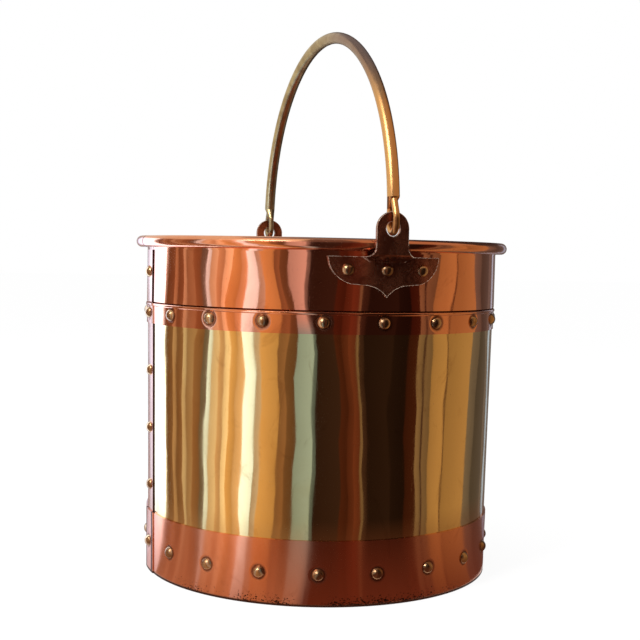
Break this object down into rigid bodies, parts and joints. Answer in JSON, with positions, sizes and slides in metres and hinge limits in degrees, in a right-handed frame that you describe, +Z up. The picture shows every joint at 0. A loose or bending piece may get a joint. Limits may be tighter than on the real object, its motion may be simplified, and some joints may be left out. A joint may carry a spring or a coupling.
{
  "type": "kindling bucket",
  "caption": "Round riveted brass and copper bucket for kindling and logs, with a rolled wired rim, two ears and a free-swinging arched bail handle.",
  "frame": {"origin": "centre of the foot, on the surface that the bucket stands on", "axes": "+Z up; X along the bail's hinge, through both ears; +Y towards the seam strap"},
  "size_m": [0.333, 0.313, 0.4491],
  "materials": {
    "polished_brass": "polished brass sheet with fine wipe marks",
    "polished_copper": null,
    "base_copper": "dull copper sheet",
    "steel_wire": "bare wire, hidden in the rim",
    "aged_brass": "dark patinated cast brass with bright worn edges",
    "rivet_brass": "polished brass with dirt round the heads",
    "bail_brass": "handled brass rod, brighter on the crown"
  },
  "bodies": {
    "bucket": {"body_sheet": "polished_brass", "collar_sheet": "polished_copper", "rim_wire": "steel_wire", "upper_hoop": "polished_copper", "bottom_band": "polished_copper", "seam_strap": "polished_copper", "base_plate": "base_copper", "ear_left": "aged_brass", "ear_right": "aged_brass", "hoop_rivets": "rivet_brass", "band_rivets": "rivet_brass", "seam_rivets": "rivet_brass", "ear_left_rivets": "rivet_brass", "ear_right_rivets": "rivet_brass"},
    "bail": {"bail": "bail_brass"}
  },
  "joints": [
    {"name": "bail_swing", "type": "hinge", "parent": "bucket", "child": "bail", "pos_m": [0, 0, 0.28025], "axis": [1, 0, 0], "range_deg": [-95, 95]}
  ]
}
